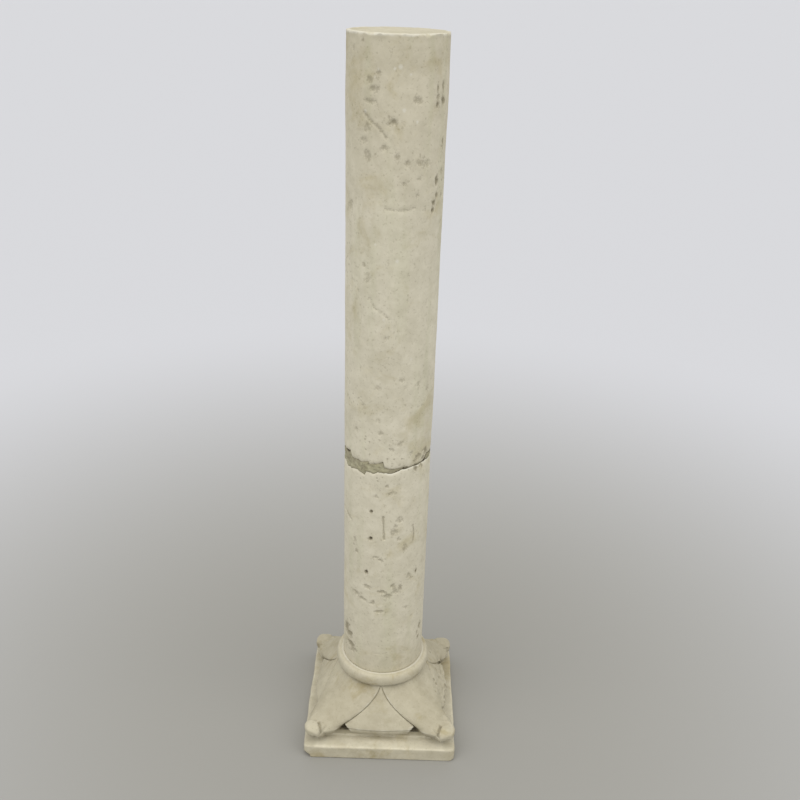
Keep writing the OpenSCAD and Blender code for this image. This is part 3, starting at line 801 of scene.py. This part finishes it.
def makeUpperDrum():
    # the broken end, the face by shaftWall(), a worn quarter round for the rim, and the rough top bed
    s = upperDrumShape
    degrees = aroundShaft(shaftShape["columns"])
    edge = upperEdge(degrees)
    ring = onShaft(degrees, shaftRadius, 0 * degrees + shaftTop)
    rimDrop = s["rimRound"] * (1 + 0.75 * roughField(ring, 18 * mm, 4, seed=73))
    for turn, halfWidth, deep in s["chips"]:
        rimDrop = rimDrop + deep * mm * np.exp(-((degrees - turn) / halfWidth) ** 2)
    height = edge + (shaftTop - rimDrop - edge) * np.linspace(0, 1, shaftShape["rows"])[:, None]
    radius, grimeAndShade, patch = shaftWall(degrees[None], height, s)
    radius = radius - s["edgeWorn"] * np.exp(-(height - edge) / (2.2 * mm))
    end, endZ = drumEnd(degrees, radius[0], edge, bedHigh, breakRadius(edge, bedHigh), s["endSeed"])
    quarter = np.radians(np.linspace(0, 90, 7))[1:, None]
    rim = radius[-1:] - rimDrop * (1 - np.cos(quarter))
    rimZ = shaftTop - rimDrop + rimDrop * np.sin(quarter)
    bed = np.array([0.97, 0.9, 0.75, 0.55, 0.3, 0])[:, None] * rim[-1:]
    radii = np.concatenate([end, radius, rim, bed])
    heights = np.concatenate([endZ, height, rimZ, np.full(bed.shape, shaftTop)])
    grid = onShaft(degrees, radii, heights)
    dips = s["bedRough"] * (roughField(grid, 14 * mm, 3, seed=74) - 1)
    dips = np.minimum(dips * ramp(heights, shaftTop - 1 * mm, shaftTop), 0)
    grid[..., 2] = np.minimum(grid[..., 2] + dips, shaftTop)
    face = slice(len(end), len(end) + len(height))
    under = 0.5 + 0.5 * roughField(grid[face], 25 * mm, 3, seed=75)
    under = under * ramp(height, shaftTop - 18 * mm, shaftTop - 5 * mm)
    fullGrimeAndShade, patches = np.zeros((2,) + radii.shape)
    # painted shade on the broken end, down in the joint's crack
    fullGrimeAndShade[:len(end)] = shaftShape["bedShade"]
    fullGrimeAndShade[face] = np.maximum(grimeAndShade, s["rimGrime"] * under)
    # painted shade on the top bed, which faces the light
    onBed = (heights >= shaftTop - 1 * mm) * (radii < shaftRadius - 6 * mm)
    fullGrimeAndShade = np.maximum(fullGrimeAndShade, s["topBedShade"] * onBed)
    patches[face] = patch
    # the rim is worn pale and carries a painted highlight; the flecks are pale stone
    wearAndHighlight = ramp(heights, shaftTop - 8 * mm, shaftTop - 2 * mm)
    wearAndHighlight = wearAndHighlight * ramp(radii, shaftRadius - 9 * mm, shaftRadius - 4 * mm)
    wearAndHighlight = wearAndHighlight * np.clip(0.75 + 0.9 * roughField(grid, 13 * mm, 3, seed=76), 0, 1)
    for turn, up, size in s["flecks"]:
        across = (degrees - turn) * math.radians(1) * shaftRadius
        wearAndHighlight = np.maximum(wearAndHighlight, np.exp(-(np.hypot(across, heights - up * mm) / (size * mm)) ** 2))
    # painted shade, darker towards the top and over the top bed
    shade = s["topShade"] * ramp(heights, 1100 * mm, 1420 * mm)
    attributes = {"grimeAndShade": fullGrimeAndShade, "wearAndHighlight": wearAndHighlight, "patch": patches, "shade": shade}
    return closedSurface("upperDrum", grid, attributes)


mortarShape = {
    "columns": 480,
    "rows": 26,
    "inset": 0.7 * mm,           # behind the stone's face
    "thinInset": 1.2 * mm,       # further behind it where the joint is narrow
    "edgeInset": 1.6 * mm,       # and along both edges
    "rough": 1.6 * mm,
    "proudest": 1.0 * mm,
    "hollowShade": 0.7,
    "thinJointShade": 0.3,
    "blotches": 0.35,
}


def makeMortar():
    # fills from drum to drum: the same broken faces, closed outside by a face of noise behind the stone's
    s = mortarShape
    degrees = aroundShaft(s["columns"])
    low, high = lowerEdge(degrees), upperEdge(degrees)
    t = np.linspace(0, 1, s["rows"])[:, None]
    height = low + (high - low) * t
    points = onShaft(degrees, shaftRadius, height)
    thick = ramp(high - low, 6 * mm, 18 * mm)
    face = shaftRadius - s["inset"] - s["thinInset"] * (1 - thick)
    face = face + s["rough"] * roughField(points, 11 * mm, 4, seed=111) * (0.15 + 0.85 * thick)
    face = face - s["edgeInset"] * (0.3 + 0.7 * thick) * (np.exp(-t * 14) + np.exp(-(1 - t) * 14))
    face = np.minimum(face, shaftRadius + s["proudest"])
    # the beds stop behind the face, so that no thin fin of mortar is left where the joint is narrow
    lowBed = np.minimum(breakRadius(low, bedLow), face[0] - 1 * mm)
    highBed = np.minimum(breakRadius(high, bedHigh), face[-1] - 1 * mm)
    foot, footZ = drumEnd(degrees, face[0], low, bedLow, lowBed, lowerDrumShape["endSeed"])
    head, headZ = drumEnd(degrees, face[-1], high, bedHigh, highBed, upperDrumShape["endSeed"])
    radii = np.concatenate([foot, face, head[::-1]])
    heights = np.concatenate([footZ, height, headZ[::-1]])
    # painted shade where the mortar lies back, where the joint is thin and along both seams; the blotches are
    # the mortar's own colour
    hollow = np.clip((shaftRadius - s["inset"] - face) / (3 * mm), 0, 1)
    seamShade = 0.55 * np.exp(-t * 9) + 0.45 * np.exp(-(1 - t) * 9)
    blotches = s["blotches"] * ramp(roughField(points, 14 * mm, 3, seed=112), 0.1, 0.6)
    grimeAndShade = np.zeros(radii.shape)
    outside = s["hollowShade"] * hollow + s["thinJointShade"] * (1 - thick) + seamShade + blotches
    grimeAndShade[len(foot):len(foot) + len(t)] = np.clip(outside, 0, 1)
    return closedSurface("jointMortar", onShaft(degrees, radii, heights), {"grimeAndShade": grimeAndShade})


# materials: three stones from shared node groups, with the pieces' own grime and painted shade, wear and
# painted highlight, patch and painted shade

def tone(red, green, blue):
    # a paint-chart colour, 0 to 255, as the linear colour that a shader takes: ((c + 0.055) / 1.055)^2.4
    shares = (red / 255, green / 255, blue / 255)
    return tuple(((c + 0.055) / 1.055) ** 2.4 if c > 0.04 else c / 12.92 for c in shares) + (1,)


class Nodes:
    # short ways to add and join the nodes of one tree
    def __init__(self, tree):
        self.tree = tree

    def put(self, socket, value):
        # links a socket's value, or sets a constant
        if isinstance(value, bpy.types.NodeSocket):
            self.tree.links.new(value, socket)
        else:
            socket.default_value = value

    def add(self, kind, inputs=None, **settings):
        # a new node with its settings made first, because they decide which sockets it has
        node = self.tree.nodes.new(kind)
        for key, value in settings.items():
            setattr(node, key, value)
        for key, value in (inputs or {}).items():
            self.put(node.inputs[key], value)
        return node

    def math(self, operation, first, second=0.0, third=0.0):
        # one sum of two or three values
        return self.add("ShaderNodeMath", {0: first, 1: second, 2: third}, operation=operation).outputs[0]

    def ramped(self, value, start, end):
        # 0 at start, 1 at end, smooth between
        node = self.add("ShaderNodeMapRange", {"Value": value, "From Min": start, "From Max": end},
                        interpolation_type="SMOOTHSTEP")
        return node.outputs["Result"]

    def noise(self, place, scale, detail=4.0, rough=0.55, distortion=0.0):
        # smooth noise, about 0 to 1, with this many waves to the metre
        node = self.add("ShaderNodeTexNoise", {"Vector": place, "Scale": scale, "Detail": detail,
                                               "Roughness": rough, "Distortion": distortion})
        return node.outputs["Fac"]

    def mixed(self, share, first, second, blend="MIX"):
        # the first colour where share is 0, the second, or their product, where it is 1
        node = self.add("ShaderNodeMix", {0: share, 6: first, 7: second}, data_type="RGBA", blend_type=blend)
        return node.outputs[2]

    def weighted(self, *terms):
        # the sum of value times weight over the terms
        total = self.math("MULTIPLY", *terms[0])
        for value, weight in terms[1:]:
            total = self.math("ADD", total, self.math("MULTIPLY", value, weight))
        return total


def nodeGroup(name, inputs, outputs):
    # an empty group with these sockets: (label, kind, value) in, (label, kind) out
    group = bpy.data.node_groups.new(name, "ShaderNodeTree")
    for label, kind, value in inputs:
        socket = group.interface.new_socket(name=label, in_out="INPUT", socket_type="NodeSocket" + kind)
        if value is not None:
            socket.default_value = value
    for label, kind in outputs:
        group.interface.new_socket(name=label, in_out="OUTPUT", socket_type="NodeSocket" + kind)
    nodes = Nodes(group)
    return group, nodes, nodes.add("NodeGroupInput").outputs, nodes.add("NodeGroupOutput").inputs


def mottleGroup():
    # stone colour: dull to pale by a weighted sum of three noises, then stains, fine specks and upright
    # streaks multiplied in; height is the finer noises' weighted sum
    group, n, given, result = nodeGroup("stoneMottle", [
        ("Place", "Vector", None), ("Pale", "Color", tone(200, 195, 176)),
        ("Dull", "Color", tone(176, 170, 148)), ("Stain", "Color", tone(170, 158, 118)),
        ("Stain Amount", "Float", 0.4), ("Speckle", "Float", 0.5), ("Streak", "Float", 0.5),
    ], [("Color", "Color"), ("Height", "Float")])
    place = given["Place"]
    cloud = n.noise(place, 9, detail=5, rough=0.6)
    patch = n.noise(place, 32, detail=5, rough=0.62, distortion=0.4)
    blotch = n.noise(place, 75, detail=5, rough=0.6, distortion=0.3)
    speck = n.noise(place, 210, detail=4, rough=0.6)
    fine = n.noise(place, 640, detail=2, rough=0.5)
    blend = n.weighted((n.ramped(cloud, 0.3, 0.7), 0.38), (n.ramped(patch, 0.32, 0.68), 0.34),
                       (n.ramped(blotch, 0.35, 0.65), 0.28))
    colour = n.mixed(blend, given["Dull"], given["Pale"])
    aside = n.add("ShaderNodeMapping", {"Vector": place, "Location": (3.1, 1.7, 5.3)}).outputs[0]
    stains = n.ramped(n.noise(aside, 13, detail=6, rough=0.65, distortion=0.6), 0.5, 0.72)
    colour = n.mixed(n.math("MULTIPLY", stains, given["Stain Amount"]), colour, given["Stain"], "MULTIPLY")
    dots = n.math("MULTIPLY", n.ramped(speck, 0.56, 0.72), given["Speckle"])
    colour = n.mixed(n.math("MULTIPLY", dots, 0.5), colour, tone(150, 143, 122), "MULTIPLY")
    upright = n.add("ShaderNodeMapping", {"Vector": place, "Scale": (1, 1, 0.07)}).outputs[0]
    streaks = n.ramped(n.noise(upright, 42, detail=3, rough=0.5), 0.48, 0.7)
    colour = n.mixed(n.math("MULTIPLY", streaks, given["Streak"]), colour, tone(244, 247, 239), "MULTIPLY")
    n.put(result["Color"], colour)
    n.put(result["Height"], n.weighted((patch, 0.35), (n.ramped(speck, 0.52, 0.75), -0.3), (fine, 0.12)))
    return group


def pitGroup():
    # clusters of small pits: the dark centres of a cell pattern, kept only where a broad noise is high
    group, n, given, result = nodeGroup("stonePits", [
        ("Place", "Vector", None), ("Scale", "Float", 120.0), ("Size", "Float", 0.25),
        ("Clusters", "Float", 8.0), ("Spread", "Float", 0.5),
    ], [("Mask", "Float")])
    place, size, spread = given["Place"], given["Size"], given["Spread"]
    cells = n.add("ShaderNodeTexVoronoi", {"Vector": place, "Scale": given["Scale"]}).outputs["Distance"]
    warp = n.math("SUBTRACT", n.noise(place, 300, detail=2), 0.5)
    ragged = n.math("ADD", cells, n.math("MULTIPLY", warp, 0.35))
    centre = n.math("SUBTRACT", 1.0, n.ramped(ragged, n.math("MULTIPLY", size, 0.5), size))
    where = n.noise(place, given["Clusters"], detail=4, rough=0.6)
    kept = n.ramped(where, spread, n.math("ADD", spread, 0.12))
    n.put(result["Mask"], n.math("MULTIPLY", centre, kept))
    return group


def weatherGroup():
    # lays worn edges with painted highlights, eroded patches, pits, and grime with painted shade over a stone
    # colour, each broken up by noise; the mask is the largest of patches, grime with painted shade, and pits
    group, n, given, result = nodeGroup("weathering", [
        ("Place", "Vector", None), ("Color", "Color", tone(190, 185, 165)), ("Grime And Shade", "Float", 0.0),
        ("Wear And Highlight", "Float", 0.0), ("Pits", "Float", 0.0), ("Patch", "Float", 0.0),
        # the deep grime tone also stands for the painted shadow in holes, slits and crevices
        ("Light Grime", "Color", tone(146, 138, 116)), ("Deep Grime", "Color", tone(66, 58, 42)),
        ("Worn", "Color", tone(216, 212, 198)),
    ], [("Color", "Color"), ("Mask", "Float")])
    place, light = given["Place"], given["Light Grime"]
    broken = n.noise(place, 90, detail=5, rough=0.65)
    ragged = n.noise(place, 260, detail=5, rough=0.7)
    amount = n.math("MULTIPLY", given["Grime And Shade"], n.math("ADD", 0.55, n.math("MULTIPLY", broken, 0.9)))
    # edges worn pale, with painted highlights
    wornAndHighlight = n.ramped(n.math("MULTIPLY", given["Wear And Highlight"], n.math("ADD", 0.4, broken)), 0.2, 0.8)
    eroded = n.math("ADD", given["Patch"], n.math("MULTIPLY", n.math("SUBTRACT", ragged, 0.5), 1.5))
    eroded = n.math("MULTIPLY", n.ramped(eroded, 0.4, 0.85), n.ramped(given["Patch"], 0.1, 0.35))
    colour = n.mixed(n.math("MULTIPLY", wornAndHighlight, 0.55), given["Color"], given["Worn"])
    colour = n.mixed(n.math("MULTIPLY", eroded, 0.52), colour, light)
    colour = n.mixed(n.math("MULTIPLY", given["Pits"], 0.5), colour, light)
    # light amounts of grime and painted shade go to the light tone, heavy ones, mostly painted shadow, to the
    # deep tone
    colour = n.mixed(n.math("MULTIPLY", n.ramped(amount, 0.03, 0.5), 0.75), colour, light)
    colour = n.mixed(n.ramped(amount, 0.45, 0.95), colour, given["Deep Grime"])
    n.put(result["Color"], colour)
    n.put(result["Mask"], n.math("MAXIMUM", eroded, n.math("MAXIMUM", amount, given["Pits"])))
    return group


stoneLooks = {
    # paint-chart tones of each stone and of its painted shade, the strength of its stains, streaks and
    # specks, and its small pits
    "shaftStone": {
        "pale": (215, 208, 187), "dull": (194, 187, 165), "stain": (218, 210, 176), "shade": (214, 207, 189),
        "stainAmount": 0.42, "streak": 0.45, "speckle": 0.6, "bump": 0.35,
        "pitScale": 95, "pitSize": 0.26, "pitClusters": 7, "pitSpread": 0.53,
    },
    "baseStone": {
        "pale": (211, 204, 182), "dull": (191, 183, 160), "stain": (212, 200, 160), "shade": (216, 214, 209),
        "stainAmount": 0.6, "streak": 0.2, "speckle": 0.4, "bump": 0.35,
        "pitScale": 110, "pitSize": 0.22, "pitClusters": 10, "pitSpread": 0.58,
    },
    "mortar": {
        "pale": (180, 175, 148), "dull": (140, 134, 104), "stain": (190, 190, 150), "shade": (255, 255, 255),
        "stainAmount": 0.7, "streak": 0.0, "speckle": 0.9, "bump": 0.8,
        "pitScale": 180, "pitSize": 0.4, "pitClusters": 30, "pitSpread": 0.45,
    },
}


def stoneMaterial(name, groups):
    # mottle, times the painted shade, under the weathering; height is the mottle's less 0.8 of the weathering
    # mask
    look = stoneLooks[name]
    material = bpy.data.materials.new(name)
    material.use_nodes = True
    material.node_tree.nodes.clear()
    n = Nodes(material.node_tree)
    place = n.add("ShaderNodeTexCoord").outputs["Object"]

    def placed(key, inputs):
        # one of the shared groups, fed with the place and these values
        return n.add("ShaderNodeGroup", {"Place": place, **inputs}, node_tree=groups[key]).outputs

    grimeAndShade, wearAndHighlight, patch, shade = (n.add("ShaderNodeAttribute", attribute_name=key).outputs["Fac"]
                                 for key in ("grimeAndShade", "wearAndHighlight", "patch", "shade"))
    mottle = placed("mottle", {"Pale": tone(*look["pale"]), "Dull": tone(*look["dull"]),
                               "Stain": tone(*look["stain"]), "Stain Amount": look["stainAmount"],
                               "Speckle": look["speckle"], "Streak": look["streak"]})
    pits = placed("pits", {"Scale": look["pitScale"], "Size": look["pitSize"],
                           "Clusters": look["pitClusters"], "Spread": look["pitSpread"]})
    shaded = n.mixed(shade, mottle["Color"], tone(*look["shade"]), "MULTIPLY")
    weather = placed("weather", {"Color": shaded, "Grime And Shade": grimeAndShade, "Wear And Highlight": wearAndHighlight, "Pits": pits["Mask"],
                                 "Patch": patch})
    height = n.weighted((mottle["Height"], 1.0), (weather["Mask"], -0.8))
    bump = n.add("ShaderNodeBump", {"Height": height, "Strength": look["bump"], "Distance": 1.2 * mm})
    rough = n.math("ADD", 0.84, n.math("MULTIPLY", weather["Mask"], 0.1))
    shader = n.add("ShaderNodeBsdfPrincipled", {"Base Color": weather["Color"], "Roughness": rough,
                                                "Normal": bump.outputs[0], "Specular IOR Level": 0.25})
    n.add("ShaderNodeOutputMaterial", {"Surface": shader.outputs[0]})
    return material


# stage, light and camera

stageLook = {
    "near": (149, 147, 141),     # the floor's tone round the column and further off
    "far": (194, 194, 197),
    "nearEdge": 0.3,             # metres from the middle between which it changes
    "farEdge": 2.6,
    "half": 150.0,
    "sky": (0.97, 0.985, 1.0, 1),
    "ambient": 0.82,
    "sunTint": (1.0, 0.99, 0.965),
    "suns": {
        # turn from the front towards the right, height angle, softness in degrees, strength
        "leftPanel": (-38, 60, 45, 1.05),
        "rightPanel": (50, 55, 45, 0.75),
    },
}

cameraLook = {"place": (0.0221, -1.6727, 1.5998), "pitch": 25.36, "roll": 1.82, "lens": 41.335, "sensor": 36}


def makeStage():
    # one flat square, its tone ramped with the distance from the middle
    half = stageLook["half"]
    mesh = bpy.data.meshes.new("floor")
    corners = [(-half, -half, 0), (half, -half, 0), (half, half, 0), (-half, half, 0)]
    mesh.from_pydata(corners, [], [(0, 1, 2, 3)])
    floor = bpy.data.objects.new("floor", mesh)
    bpy.context.scene.collection.objects.link(floor)
    material = bpy.data.materials.new("paleFloor")
    material.use_nodes = True
    n = Nodes(material.node_tree)
    place = n.add("ShaderNodeTexCoord").outputs["Object"]
    away = n.add("ShaderNodeVectorMath", {0: place}, operation="LENGTH").outputs["Value"]
    share = n.ramped(away, stageLook["nearEdge"], stageLook["farEdge"])
    shader = material.node_tree.nodes["Principled BSDF"].inputs
    n.put(shader["Base Color"], n.mixed(share, tone(*stageLook["near"]), tone(*stageLook["far"])))
    n.put(shader["Roughness"], 0.95)
    n.put(shader["Specular IOR Level"], 0.1)
    mesh.materials.append(material)


def makeLights():
    # an even sky and two wide, soft suns, each turned up from the ground and round the column
    world = bpy.data.worlds.new("softSky")
    bpy.context.scene.world = world
    world.use_nodes = True
    sky = world.node_tree.nodes["Background"]
    sky.inputs["Color"].default_value = stageLook["sky"]
    sky.inputs["Strength"].default_value = stageLook["ambient"]
    for name, (turn, up, softness, strength) in stageLook["suns"].items():
        light = bpy.data.lights.new(name, "SUN")
        light.angle = math.radians(softness)
        light.energy = strength
        light.color = stageLook["sunTint"]
        lamp = bpy.data.objects.new(name, light)
        lamp.rotation_euler = (math.radians(90 - up), 0, math.radians(turn))
        bpy.context.scene.collection.objects.link(lamp)


def makeCamera():
    # stands at its place, tipped down by the pitch and then rolled about its own axis
    data = bpy.data.cameras.new("camera")
    data.lens = cameraLook["lens"]
    data.sensor_width = cameraLook["sensor"]
    data.clip_end = 400
    camera = bpy.data.objects.new("camera", data)
    down = Matrix.Rotation(math.radians(90 - cameraLook["pitch"]), 4, "X")
    roll = Matrix.Rotation(math.radians(cameraLook["roll"]), 4, "Z")
    camera.matrix_world = Matrix.Translation(cameraLook["place"]) @ down @ roll
    bpy.context.scene.collection.objects.link(camera)
    bpy.context.scene.camera = camera


# the whole

makeCamera()
makeLights()
makeStage()
print("stage, lights and camera made")
groups = {"mottle": mottleGroup(), "pits": pitGroup(), "weather": weatherGroup()}
looks = {name: stoneMaterial(name, groups) for name in stoneLooks}
print("materials made:", ", ".join(looks))

pieces = [
    (makeBase, "base", "baseStone", "base_stone"),
    (makeLowerDrum, "lower_shaft", "shaftStone", "shaft_stone"),
    (makeUpperDrum, "upper_shaft", "shaftStone", "shaft_stone"),
    (makeMortar, "joint_mortar", "mortar", "mortar"),
]
for make, node, look, slotName in pieces:
    piece = make()
    piece.data.materials.append(looks[look])
    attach(piece, "root")
    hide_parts(node)
    print(piece.name, "made:", len(piece.data.polygons), "faces")

bpy.context.scene.view_settings.view_transform = "Standard"
bpy.context.view_layer.update()
